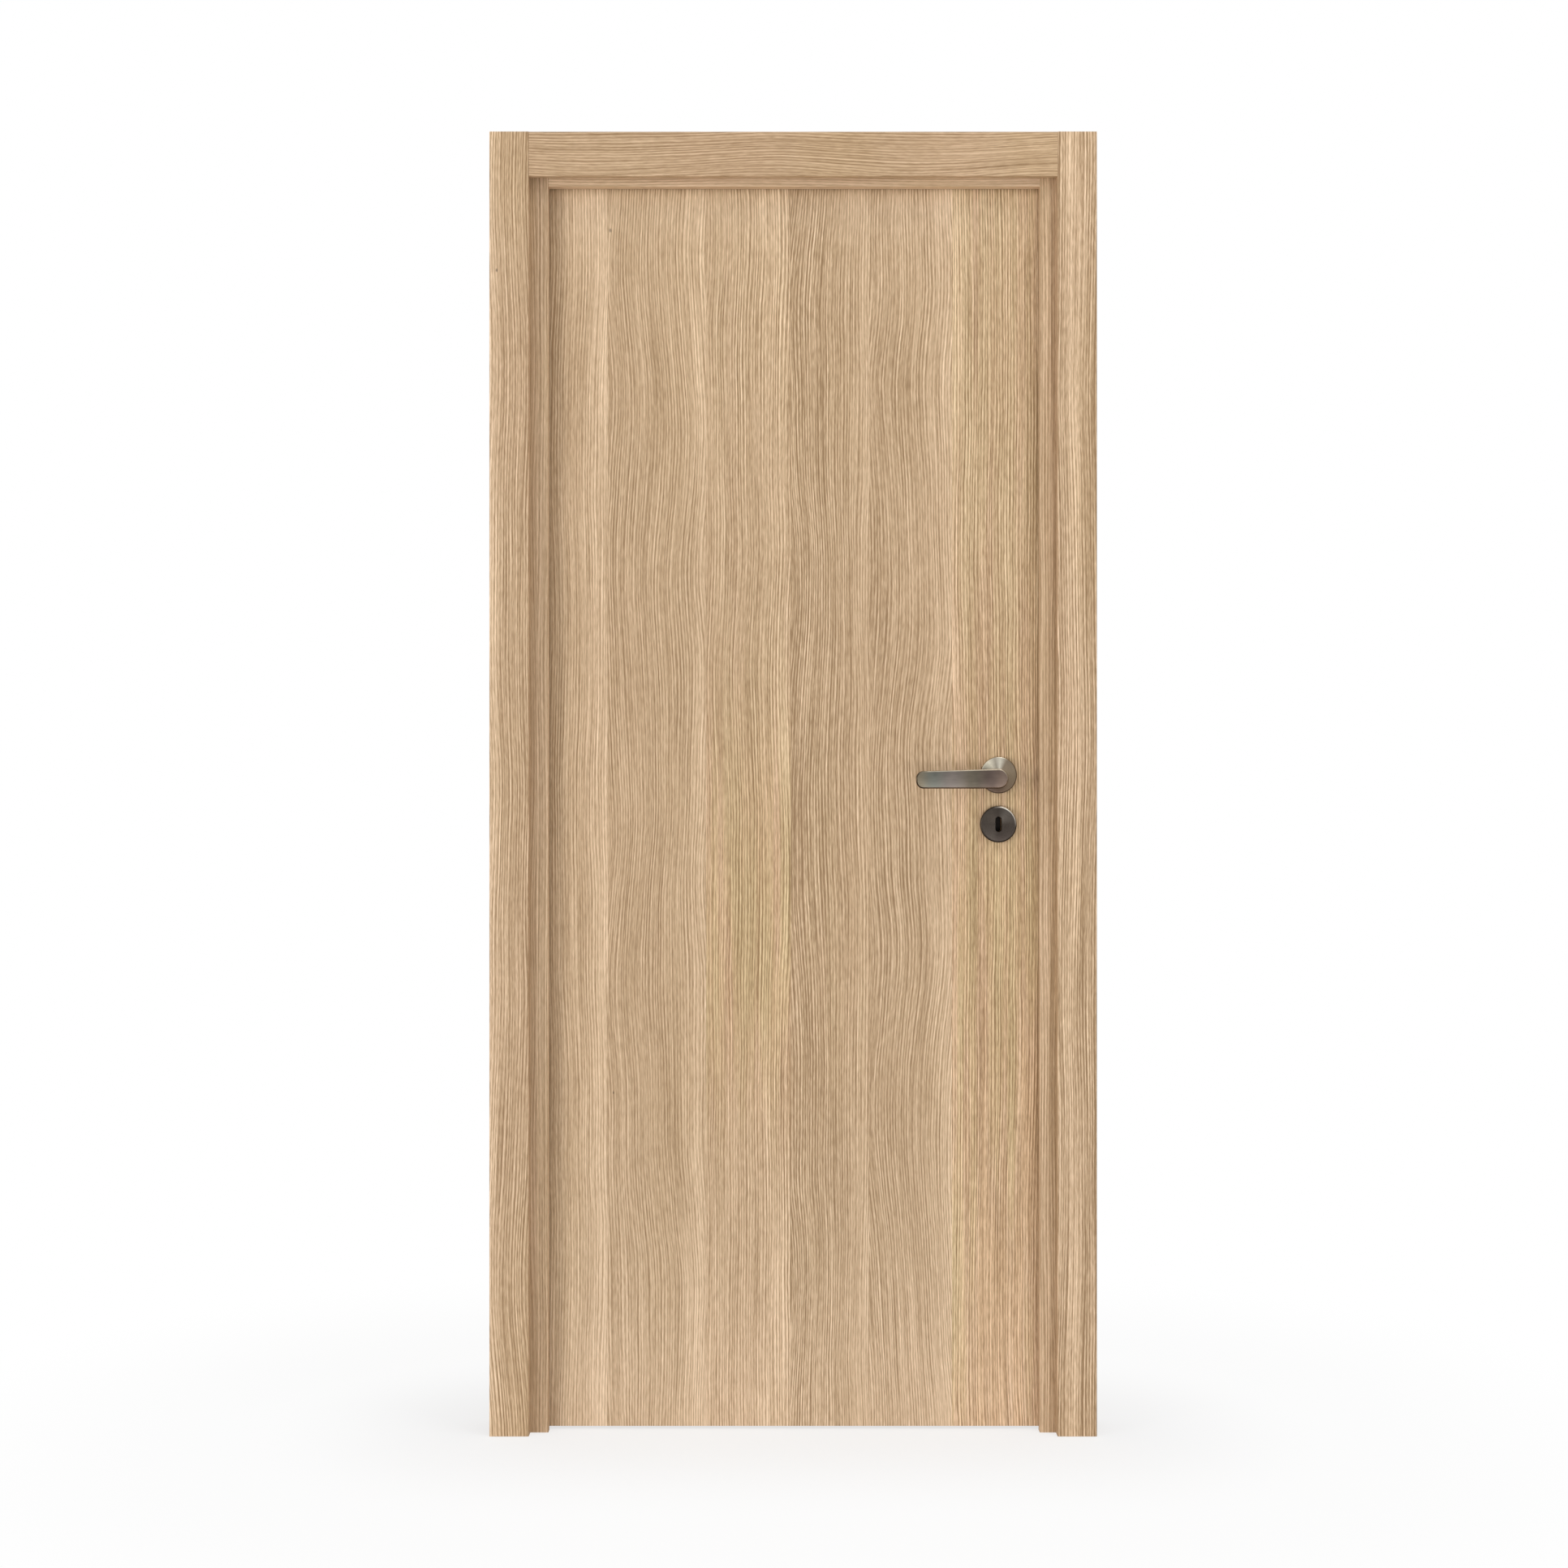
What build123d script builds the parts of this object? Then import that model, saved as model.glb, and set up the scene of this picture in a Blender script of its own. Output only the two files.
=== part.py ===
from build123d import *
import os

# Prehung interior door: a laminated leaf in its lining, with stops, seals, casings on both
# sides, three butt hinges, a mortise lock and lever handles. Millimetres, +Z up.
# Origin: wall face of the hinge-side jamb, at floor level, in the middle of the jamb's depth.
# +X runs from the hinge side to the lock side as seen from the front, and +Y runs away from
# the front, to the side that the leaf opens to.

# Leaf
leaf_width = 826.0
leaf_height = 2040.0
leaf_thickness = 40.0
skin_thickness = 4.0
band_thickness = 2.0
lock_edge_slope = 2.0
stile_width = 40.0
rail_height = 90.0
lock_block_width = 80.0
lock_block_height = 320.0

# Gaps round the leaf
floor_gap = 5.0
head_gap = 5.0
hinge_gap = 5.0
lock_gap = 6.0
stop_gap = 3.0

# Lining
jamb_thickness = 30.0
jamb_depth = 70.0

# Stops: how far each covers the leaf's edge, how far its face lies behind the lining's front
# edge, and the rounding of its arris
hinge_stop_lap = 14.0
lock_stop_lap = 10.0
head_stop_lap = 11.0
stop_set_back = 11.0
stop_arris = 1.5

# Seals, let into the leaf side of the stops
seal_width = 5.0
seal_root = 6.0
seal_nose = 1.2
seal_clearance = 0.3

# Casings
casing_width = 64.0
casing_thickness = 10.0
side_casing_margin = 10.5
back_head_margin = 3.0
front_head_casing_width = 72.4
casing_arris = 1.5

# Hinges: the lowest and the highest one's distance from the leaf's bottom and top
hinge_foot = 200.0
hinge_drop = 200.0
hinge_length = 100.0
knuckle_count = 5
knuckle_clearance = 0.3
hinge_plate_thickness = 2.5
hinge_plate_inset = 26.0
barrel_radius = 7.0
barrel_stand_off = 8.0
pin_radius = 3.5
pin_clearance = 0.05
pin_button_radius = 5.5
pin_button_height = 4.0
pin_button_bevel = 2.0

# Handle
backset = 76.0
spindle_height = 1073.0
key_spacing = 80.5
rose_radius = 30.0
lever_rose_thickness = 9.5
key_rose_thickness = 9.0
rose_bevel = 2.0
neck_radius = 7.5
neck_clearance = 0.05
neck_end_gap = 0.3
lever_stand_off = 58.0
blade_length = 149.0
blade_height = 32.0
blade_tip_height = 28.5
blade_thickness = 8.0
blade_drop = 6.0
blade_shift = 5.0
blade_tip_round = 12.0
blade_bevel = 1.0
spindle_size = 8.0
spindle_clearance = 0.1
spindle_socket_depth = 25.0
spindle_way = 1.0
spindle_corner_radius = 5.7

# Keyhole
keyhole_width = 10.0
keyhole_height = 25.0
keyhole_depth_in_case = 5.0

# Lock
case_thickness = 16.0
case_height = 165.0
case_behind_spindle = 27.0
case_below_key = 52.0
faceplate_thickness = 3.0
faceplate_width = 22.0
faceplate_height = 235.0
latch_width = 14.0
latch_height = 24.0
latch_bevel = 9.0
dead_bolt_width = 10.0
dead_bolt_height = 34.0
dead_bolt_below_key = 30.0
bolt_clearance = 0.2
bolt_length = 32.0

# Strike plate and the pockets behind it
strike_thickness = 2.0
strike_width = 26.0
strike_height = 200.0
strike_corner = 5.0
strike_room = 3.0
strike_pocket_depth = 18.0

# How far a cutting block runs past the piece that it cuts, and how near counts as the same place
over = 1.0
near = 0.01

# Places worked out from the sizes above
leaf_left = jamb_thickness + hinge_gap
leaf_right = leaf_left + leaf_width
leaf_bottom = floor_gap
leaf_top = leaf_bottom + leaf_height
lock_face = leaf_right + lock_gap
frame_right = lock_face + jamb_thickness
head_face = leaf_top + head_gap
head_top = head_face + jamb_thickness
front = -jamb_depth / 2
back = jamb_depth / 2
leaf_front = back - leaf_thickness
leaf_middle = back - leaf_thickness / 2
stop_front = front + stop_set_back
stop_back = leaf_front - stop_gap
hinge_stop_edge = leaf_left + hinge_stop_lap
lock_stop_edge = leaf_right - lock_stop_lap
head_stop_edge = leaf_top - head_stop_lap
casing_left = jamb_thickness - side_casing_margin
casing_right = lock_face + side_casing_margin
casing_top = head_face + back_head_margin + casing_width
pin_x = jamb_thickness + hinge_gap / 2
pin_y = back + barrel_stand_off
knuckle_pitch = hinge_length / knuckle_count
low_hinge = leaf_bottom + hinge_foot
high_hinge = leaf_top - hinge_drop - hinge_length
spindle_x = leaf_right - backset
key_z = spindle_height - key_spacing
case_left = spindle_x - case_behind_spindle
case_bottom = key_z - case_below_key
case_top = case_bottom + case_height
case_front = leaf_middle - case_thickness / 2
case_back = leaf_middle + case_thickness / 2
lock_middle_z = case_bottom + case_height / 2

# The lower end of each hinge
hinges = {"bottom": low_hinge, "middle": (low_hinge + high_hinge) / 2, "top": high_hinge}

# Each bolt's height above the floor, with its width and height
bolts = {
    "latch": (spindle_height, latch_width, latch_height),
    "dead": (key_z - dead_bolt_below_key, dead_bolt_width, dead_bolt_height),
}


def block(x0, x1, y0, y1, z0, z1):
    """A box between two places on each axis, in either order."""
    middle = Pos((x0 + x1) / 2, (y0 + y1) / 2, (z0 + z1) / 2)
    return middle * Box(abs(x1 - x0), abs(y1 - y0), abs(z1 - z0))


def rod_y(x, z, radius, y0, y1):
    """A cylinder along Y."""
    return Pos(x, (y0 + y1) / 2, z) * Rot(90, 0, 0) * Cylinder(radius, abs(y1 - y0))


def slot_y(y0, y1):
    """The upright round-ended keyhole, along Y."""
    reach = (keyhole_height - keyhole_width) / 2
    radius = keyhole_width / 2
    body = block(spindle_x - radius, spindle_x + radius, y0, y1, key_z - reach, key_z + reach)
    body += rod_y(spindle_x, key_z - reach, radius, y0, y1)
    body += rod_y(spindle_x, key_z + reach, radius, y0, y1)
    return body


def prism_z(corners, z0, z1):
    """An upright prism on a plan outline."""
    outline = make_face(Polyline(*corners, close=True))
    return Pos(0, 0, z0) * extrude(outline, z1 - z0)


def edges_at(part, along, x=None, y=None, z=None):
    """The edges along one axis whose middle lies at the given places."""
    found = []
    for edge in part.edges().filter_by(along):
        centre = edge.center()
        wanted = ((centre.X, x), (centre.Y, y), (centre.Z, z))
        if all(place is None or abs(value - place) < near for value, place in wanted):
            found.append(edge)
    return found


# Lining

def plate_block(side, name, y0, y1):
    """The room of one hinge plate: side is -1 in the jamb and 1 in the leaf."""
    inner = pin_x + side * hinge_gap / 2
    outer = inner + side * hinge_plate_thickness
    return block(inner, outer, y0, y1, hinges[name], hinges[name] + hinge_length)


def mortised(part, side):
    """A piece with the three hinge plates' mortises cut in it."""
    for name in hinges:
        part -= plate_block(side, name, back - hinge_plate_inset, back + over)
    return part


def side_jamb(wall_x, leaf_x, casing_x):
    """An upright of the lining, rebated at its front edge from the casing to the leaf's side."""
    jamb = block(wall_x, leaf_x, front, back, 0, head_face)
    past = leaf_x + over if leaf_x > wall_x else leaf_x - over
    return jamb - block(casing_x, past, front - over, stop_front, -over, head_face + over)


def hinge_jamb():
    return mortised(side_jamb(0, jamb_thickness, casing_left), -1)


def strike_blank():
    """The strike plate before its holes, which is also its mortise."""
    blank = block(
        lock_face, lock_face + strike_thickness,
        leaf_middle - strike_width / 2, leaf_middle + strike_width / 2,
        lock_middle_z - strike_height / 2, lock_middle_z + strike_height / 2,
    )
    return fillet(blank.edges().filter_by(Axis.X), strike_corner)


def without_strike_holes(part, x1):
    """A piece with a hole for each bolt, from the lock face in."""
    for z, width, height in bolts.values():
        part -= block(
            lock_face - over, x1,
            leaf_middle - width / 2 - strike_room, leaf_middle + width / 2 + strike_room,
            z - height / 2 - strike_room, z + height / 2 + strike_room,
        )
    return part


def strike_plate():
    return without_strike_holes(strike_blank(), lock_face + strike_thickness + over)


def lock_jamb():
    jamb = side_jamb(frame_right, lock_face, casing_right) - strike_blank()
    return without_strike_holes(jamb, lock_face + strike_thickness + strike_pocket_depth)


def head_jamb():
    return block(0, frame_right, front, back, head_face, head_top)


# Stops and seals

def seal_block(x0, x1, z0, z1, nose_y):
    """A seal from the root of its groove to its nose."""
    return block(x0, x1, stop_back - seal_root, nose_y, z0, z1)


def side_seal_span(leaf_edge, stop_edge):
    """The two sides of an upright seal, in the middle of what the stop covers."""
    middle = (leaf_edge + stop_edge) / 2
    return middle - seal_width / 2, middle + seal_width / 2


def head_seal_span():
    middle = (leaf_top + head_stop_edge) / 2
    return middle - seal_width / 2, middle + seal_width / 2


def side_stop(jamb_face, stop_edge, leaf_edge):
    """A stop down one jamb, with its arris rounded and a groove for the seal."""
    stop = block(jamb_face, stop_edge, stop_front, stop_back, 0, head_face)
    stop = fillet(edges_at(stop, Axis.Z, x=stop_edge, y=stop_front), stop_arris)
    x0, x1 = side_seal_span(leaf_edge, stop_edge)
    return stop - seal_block(x0, x1, -over, head_seal_span()[1], stop_back + over)


def side_seal(leaf_edge, stop_edge):
    x0, x1 = side_seal_span(leaf_edge, stop_edge)
    nose = leaf_front - seal_clearance
    seal = seal_block(x0, x1, 0, head_seal_span()[1], nose)
    return fillet(edges_at(seal, Axis.Z, y=nose), seal_nose)


def head_stop():
    """The stop under the head, between the two upright ones."""
    stop = block(hinge_stop_edge, lock_stop_edge, stop_front, stop_back, head_stop_edge, head_face)
    stop = fillet(edges_at(stop, Axis.X, y=stop_front, z=head_stop_edge), stop_arris)
    z0, z1 = head_seal_span()
    return stop - seal_block(hinge_stop_edge - over, lock_stop_edge + over, z0, z1, stop_back + over)


def head_seal():
    z0, z1 = head_seal_span()
    nose = leaf_front - seal_clearance
    seal = seal_block(hinge_stop_edge, lock_stop_edge, z0, z1, nose)
    return fillet(edges_at(seal, Axis.X, y=nose), seal_nose)


# Casings

def side_casing(x_inner, x_outer, y_wall, y_face):
    """An upright casing with its two outer arrises rounded."""
    casing = block(x_inner, x_outer, y_wall, y_face, 0, casing_top)
    return fillet(edges_at(casing, Axis.Z, y=y_face), casing_arris)


def head_casing(z_low, y_wall, y_face):
    """The casing over the opening, butted between the two uprights."""
    casing = block(casing_left, casing_right, y_wall, y_face, z_low, casing_top)
    return fillet(edges_at(casing, Axis.X, y=y_face), casing_arris)


def casings():
    made = {}
    for side, y_wall, y_face, head_width in (
        ("front", front, front - casing_thickness, front_head_casing_width),
        ("back", back, back + casing_thickness, casing_width),
    ):
        made[side + "_casing_left"] = side_casing(casing_left, casing_left - casing_width, y_wall, y_face)
        made[side + "_casing_right"] = side_casing(casing_right, casing_right + casing_width, y_wall, y_face)
        made[side + "_casing_head"] = head_casing(casing_top - head_width, y_wall, y_face)
    return made


# Leaf

def lock_edge(y, inset=0.0):
    """Where the sloped lock edge lies at one depth, less an inset."""
    return leaf_right - lock_edge_slope * (back - y) / leaf_thickness - inset


def lock_side_prism(x0, y0, y1, inset, z0, z1):
    """A piece that ends at the sloped lock edge."""
    corners = [(x0, y0), (lock_edge(y0, inset), y0), (lock_edge(y1, inset), y1), (x0, y1)]
    return prism_z(corners, z0, z1)


def edge_layer(y0, y1, outer, inner, z0, z1):
    """A layer that follows the sloped lock edge, between two insets from it."""
    corners = [
        (lock_edge(y0, inner), y0), (lock_edge(y0, outer), y0),
        (lock_edge(y1, outer), y1), (lock_edge(y1, inner), y1),
    ]
    return prism_z(corners, z0, z1)


def faceplate_blank(outer):
    """The faceplate before its holes; a negative inset makes its mortise run past the edge."""
    return edge_layer(
        leaf_middle - faceplate_width / 2, leaf_middle + faceplate_width / 2,
        outer, faceplate_thickness,
        lock_middle_z - faceplate_height / 2, lock_middle_z + faceplate_height / 2,
    )


def with_handle_holes(part, y0, y1):
    """A piece with the ways of the spindle and the key cut through it."""
    part -= rod_y(spindle_x, spindle_height, neck_radius + spindle_way, y0, y1)
    return part - slot_y(y0, y1)


def leaf_skin(y0, y1):
    """A face sheet between the edge bands."""
    skin = lock_side_prism(leaf_left + band_thickness, y0, y1, band_thickness, leaf_bottom, leaf_top)
    return mortised(with_handle_holes(skin, y0 - over, y1 + over), 1)


def hinge_stile():
    stile = block(
        leaf_left + band_thickness, leaf_left + stile_width,
        leaf_front + skin_thickness, back - skin_thickness, leaf_bottom, leaf_top,
    )
    return mortised(stile, 1)


def lock_pocket():
    return block(case_left, leaf_right + over, case_front, case_back, case_bottom, case_top)


def lock_stile():
    """The narrow stile, with the mortise of the lock and its faceplate."""
    stile = lock_side_prism(
        leaf_right - stile_width, leaf_front + skin_thickness, back - skin_thickness,
        band_thickness, leaf_bottom, leaf_top,
    )
    return stile - lock_pocket() - faceplate_blank(-over)


def lock_block_blank():
    """The block beside the stile that holds the lock, before it is mortised."""
    return block(
        leaf_right - stile_width - lock_block_width, leaf_right - stile_width,
        leaf_front + skin_thickness, back - skin_thickness,
        lock_middle_z - lock_block_height / 2, lock_middle_z + lock_block_height / 2,
    )


def lock_block():
    return with_handle_holes(lock_block_blank() - lock_pocket(), leaf_front, back)


def leaf_filling(z0, z1):
    """A rail or the core, between the stiles and the skins."""
    return block(
        leaf_left + stile_width, leaf_right - stile_width,
        leaf_front + skin_thickness, back - skin_thickness, z0, z1,
    )


def hinge_edge_band():
    return mortised(block(leaf_left, leaf_left + band_thickness, leaf_front, back, leaf_bottom, leaf_top), 1)


def lock_edge_band():
    return edge_layer(leaf_front, back, 0, band_thickness, leaf_bottom, leaf_top) - faceplate_blank(-over)


# Lock

def without_bolt_holes(part, x0):
    """A piece with the running holes of both bolts."""
    for z, width, height in bolts.values():
        part -= block(
            x0, leaf_right + over,
            leaf_middle - width / 2 - bolt_clearance, leaf_middle + width / 2 + bolt_clearance,
            z - height / 2 - bolt_clearance, z + height / 2 + bolt_clearance,
        )
    return part


def bolt_nose():
    """The bolts are drawn in, level with the shallow side of the faceplate."""
    return lock_edge(leaf_middle - faceplate_width / 2)


def lock_case():
    """The case, with the round way of the spindle and a blind keyhole from each side."""
    case = block(case_left, lock_edge(case_front, faceplate_thickness), case_front, case_back, case_bottom, case_top)
    case -= rod_y(spindle_x, spindle_height, spindle_corner_radius + spindle_way, leaf_front, back)
    case -= slot_y(leaf_front, case_front + keyhole_depth_in_case)
    case -= slot_y(case_back - keyhole_depth_in_case, back)
    return without_bolt_holes(case, bolt_nose() - bolt_length - bolt_clearance)


def lock_faceplate():
    return without_bolt_holes(faceplate_blank(0), case_left)


def latch_bolt():
    """The spring bolt, bevelled on the side that meets the strike first."""
    z, width, height = bolts["latch"]
    nose = bolt_nose()
    low_y = leaf_middle - width / 2
    corners = [
        (nose - bolt_length, low_y), (nose - latch_bevel, low_y),
        (nose, low_y + latch_bevel), (nose, low_y + width), (nose - bolt_length, low_y + width),
    ]
    return prism_z(corners, z - height / 2, z + height / 2)


def dead_bolt():
    z, width, height = bolts["dead"]
    nose = bolt_nose()
    return block(
        nose - bolt_length, nose,
        leaf_middle - width / 2, leaf_middle + width / 2, z - height / 2, z + height / 2,
    )


# Handle, made for the front and mirrored for the back

def rose(z, thickness):
    """A round rose with a bevelled rim."""
    disc = rod_y(spindle_x, z, rose_radius, leaf_front - thickness, leaf_front)
    rim = disc.edges().filter_by(GeomType.CIRCLE).sort_by(Axis.Y)[0]
    return chamfer(rim, rose_bevel)


def lever_rose():
    bore = rod_y(
        spindle_x, spindle_height, neck_radius + neck_clearance,
        leaf_front - lever_rose_thickness - over, leaf_front + over,
    )
    return rose(spindle_height, lever_rose_thickness) - bore


def key_rose():
    return rose(key_z, key_rose_thickness) - slot_y(leaf_front - key_rose_thickness - over, leaf_front + over)


def blade_outline():
    """The flat lever from the front: a half-round butt, a gentle taper and a soft tip."""
    butt = blade_height / 2
    butt_x = spindle_x - blade_shift
    right = butt_x + butt
    left = right - blade_length
    low = spindle_height - blade_drop - butt
    tip_top = low + blade_tip_height
    soft = blade_tip_round
    lower = Line((left + soft, low), (butt_x, low))
    end = ThreePointArc((butt_x, low), (right, low + butt), (butt_x, low + blade_height))
    upper = Line((butt_x, low + blade_height), (left + soft, tip_top))
    top_corner = RadiusArc((left + soft, tip_top), (left, tip_top - soft), -soft)
    tip = Line((left, tip_top - soft), (left, low + soft))
    low_corner = RadiusArc((left, low + soft), (left + soft, low), -soft)
    return make_face(lower + end + upper + top_corner + tip + low_corner)


def spindle_block(clearance, y0, y1):
    half = spindle_size / 2 + clearance
    return block(spindle_x - half, spindle_x + half, y0, y1, spindle_height - half, spindle_height + half)


def lever():
    """The blade on the round neck that turns in the rose, with the spindle's socket."""
    y_face = leaf_front - lever_stand_off
    y_rear = y_face + blade_thickness
    neck_end = leaf_front - neck_end_gap
    blade = extrude(Plane.XZ.offset(-y_rear) * blade_outline(), blade_thickness)
    blade = chamfer(blade.faces().sort_by(Axis.Y)[0].edges(), blade_bevel)
    neck = rod_y(spindle_x, spindle_height, neck_radius, y_rear - blade_bevel, neck_end)
    return blade + neck - spindle_block(spindle_clearance, neck_end - spindle_socket_depth, neck_end + over)


def spindle():
    reach = leaf_thickness / 2 + neck_end_gap + spindle_socket_depth - spindle_clearance
    return spindle_block(0, leaf_middle - reach, leaf_middle + reach)


def to_back(part):
    """The same piece on the leaf's back face."""
    return mirror(part, Plane.XZ.offset(-leaf_middle))


# Hinges

def hinge_half(side, name):
    """A plate with its share of the knuckles: side is -1 on the jamb and 1 on the leaf."""
    base = hinges[name]
    inner = pin_x + side * hinge_gap / 2
    outer = inner + side * hinge_plate_thickness
    half = plate_block(side, name, back - hinge_plate_inset, back)
    for index in range(knuckle_count):
        belongs_to = 1 if index % 2 else -1
        if belongs_to != side:
            continue
        z0 = base + index * knuckle_pitch + knuckle_clearance / 2
        z1 = z0 + knuckle_pitch - knuckle_clearance
        half += block(inner, outer, back - over, pin_y - pin_radius, z0, z1)
        half += Pos(pin_x, pin_y, (z0 + z1) / 2) * Cylinder(barrel_radius, z1 - z0)
    bore = Cylinder(pin_radius + pin_clearance, hinge_length + 2 * over)
    return half - Pos(pin_x, pin_y, base + hinge_length / 2) * bore


def hinge_pin(name):
    """The loose pin, with a bevelled button at each end."""
    base = hinges[name]
    pin = Pos(pin_x, pin_y, base + hinge_length / 2) * Cylinder(pin_radius, hinge_length)
    for z, turn in ((base, 180), (base + hinge_length, 0)):
        button = Pos(0, 0, pin_button_height / 2) * Cylinder(pin_button_radius, pin_button_height)
        rim = button.edges().filter_by(GeomType.CIRCLE).sort_by(Axis.Z)[-1]
        button = chamfer(rim, pin_button_bevel)
        pin += Pos(pin_x, pin_y, z) * Rot(turn, 0, 0) * button
    return pin


def all_parts():
    made = {
        "hinge_jamb": hinge_jamb(),
        "lock_jamb": lock_jamb(),
        "head_jamb": head_jamb(),
        "hinge_stop": side_stop(jamb_thickness, hinge_stop_edge, leaf_left),
        "lock_stop": side_stop(lock_face, lock_stop_edge, lock_edge(leaf_front)),
        "head_stop": head_stop(),
        "hinge_seal": side_seal(leaf_left, hinge_stop_edge),
        "lock_seal": side_seal(lock_edge(leaf_front), lock_stop_edge),
        "head_seal": head_seal(),
        "strike_plate": strike_plate(),
        "leaf_front_skin": leaf_skin(leaf_front, leaf_front + skin_thickness),
        "leaf_back_skin": leaf_skin(back - skin_thickness, back),
        "leaf_hinge_stile": hinge_stile(),
        "leaf_lock_stile": lock_stile(),
        "leaf_top_rail": leaf_filling(leaf_top - rail_height, leaf_top),
        "leaf_bottom_rail": leaf_filling(leaf_bottom, leaf_bottom + rail_height),
        "leaf_core": leaf_filling(leaf_bottom + rail_height, leaf_top - rail_height) - lock_block_blank(),
        "leaf_lock_block": lock_block(),
        "leaf_hinge_edge_band": hinge_edge_band(),
        "leaf_lock_edge_band": lock_edge_band(),
        "lock_case": lock_case(),
        "lock_faceplate": lock_faceplate(),
        "latch_bolt": latch_bolt(),
        "dead_bolt": dead_bolt(),
        "lever_rose_front": lever_rose(),
        "lever_rose_back": to_back(lever_rose()),
        "key_rose_front": key_rose(),
        "key_rose_back": to_back(key_rose()),
        "lever_front": lever(),
        "lever_back": to_back(lever()),
        "lever_spindle": spindle(),
    }
    made.update(casings())
    for name in hinges:
        made["hinge_frame_plate_" + name] = hinge_half(-1, name)
        made["hinge_leaf_plate_" + name] = hinge_half(1, name)
        made["hinge_pin_" + name] = hinge_pin(name)
    return made


os.makedirs("parts", exist_ok=True)
for node, solid in all_parts().items():
    export_step(solid, "parts/" + node + ".step")
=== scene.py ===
import bpy
import bmesh
import math
from collections import namedtuple
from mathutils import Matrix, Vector


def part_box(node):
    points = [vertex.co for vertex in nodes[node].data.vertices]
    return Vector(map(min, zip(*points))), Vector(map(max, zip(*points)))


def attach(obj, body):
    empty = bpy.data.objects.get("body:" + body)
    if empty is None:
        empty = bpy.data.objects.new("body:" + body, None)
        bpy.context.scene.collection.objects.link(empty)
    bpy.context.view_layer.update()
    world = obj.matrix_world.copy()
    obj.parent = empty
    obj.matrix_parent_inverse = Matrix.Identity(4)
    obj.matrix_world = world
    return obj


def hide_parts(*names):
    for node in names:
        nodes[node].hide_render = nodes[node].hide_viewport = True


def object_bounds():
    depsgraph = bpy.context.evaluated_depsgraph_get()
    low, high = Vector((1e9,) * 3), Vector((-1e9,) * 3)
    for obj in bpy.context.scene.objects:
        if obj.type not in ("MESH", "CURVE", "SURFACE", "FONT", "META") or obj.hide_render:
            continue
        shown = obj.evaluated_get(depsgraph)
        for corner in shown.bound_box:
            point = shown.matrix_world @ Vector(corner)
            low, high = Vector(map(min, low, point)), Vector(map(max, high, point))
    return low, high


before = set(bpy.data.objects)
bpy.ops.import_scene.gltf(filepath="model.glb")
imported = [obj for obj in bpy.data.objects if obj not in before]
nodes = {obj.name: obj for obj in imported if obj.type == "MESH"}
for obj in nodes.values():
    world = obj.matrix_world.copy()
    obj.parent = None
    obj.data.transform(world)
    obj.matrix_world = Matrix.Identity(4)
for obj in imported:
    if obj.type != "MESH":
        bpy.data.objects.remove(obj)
cad_low, cad_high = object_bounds()
ENDS = ("bottom", "middle", "top")
X, Y, Z = 0, 1, 2


# Places from the CAD. Every length in this file is in metres.

def lowest(node, axis):
    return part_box(node)[0][axis]


def highest(node, axis):
    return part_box(node)[1][axis]


def middle(node, axis):
    return (lowest(node, axis) + highest(node, axis)) / 2


def half_size(node, axis):
    return (highest(node, axis) - lowest(node, axis)) / 2


MIDDLE_X, MIDDLE_Z = (cad_low[X] + cad_high[X]) / 2, (cad_low[Z] + cad_high[Z]) / 2
LEAF_LEFT, LEAF_RIGHT = lowest("leaf_hinge_edge_band", X), highest("leaf_lock_edge_band", X)
LEAF_FRONT, LEAF_BACK = lowest("leaf_front_skin", Y), highest("leaf_back_skin", Y)
LEAF_MIDDLE = (LEAF_FRONT + LEAF_BACK) / 2
LEFT_CASING, RIGHT_CASING = lowest("front_casing_left", X), lowest("front_casing_right", X)
JAMB_FRONT, JAMB_BACK = lowest("hinge_jamb", Y), highest("hinge_jamb", Y)
SPINDLE_X, SPINDLE_Z = middle("lever_spindle", X), middle("lever_spindle", Z)
KEY_Z = middle("key_rose_front", Z)
BLADE_LEFT = lowest("lever_front", X)


# Colours and node helpers

def linear(r, g, b):
    """A colour read in 0 to 255 as it looks, turned into the numbers that the shaders use."""
    out = []
    for c in (r, g, b):
        c = c / 255
        out.append(c / 12.92 if c <= 0.04045 else ((c + 0.055) / 1.055) ** 2.4)
    return (*out, 1.0)


def shades(marks):
    """Marks for a ramp, from pairs of a place and a colour in 0 to 255."""
    return [(at, linear(*colour)) for at, colour in marks]


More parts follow.
